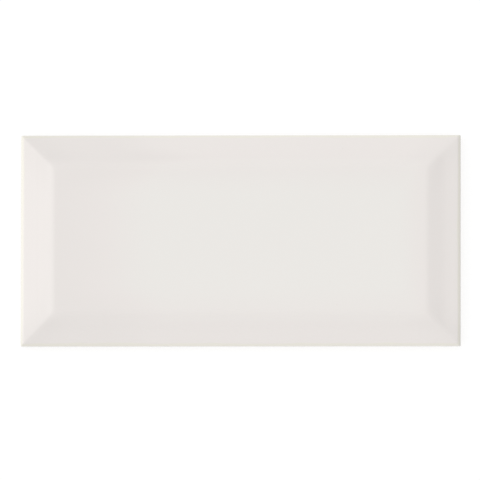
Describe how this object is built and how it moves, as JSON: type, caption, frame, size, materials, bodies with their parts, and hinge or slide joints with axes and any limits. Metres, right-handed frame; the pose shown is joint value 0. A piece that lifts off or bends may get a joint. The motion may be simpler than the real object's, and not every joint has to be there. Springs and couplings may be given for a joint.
{
  "type": "bevelled subway wall tile",
  "caption": "Rectangular glazed wall tile with a raised flat field, mitred bevels all round and an unglazed ribbed back that keys into adhesive.",
  "frame": {"origin": "centre of the plane of the rib crests on the back, the tile lying face up", "axes": "+X along the tile's length, +Y across its width, +Z out of its glazed face"},
  "size_m": [0.15, 0.0722, 0.008],
  "materials": {
    "glazed_tile": "gloss"
  },
  "bodies": {
    "root": {"wall_tile": "glazed_tile"}
  },
  "joints": []
}
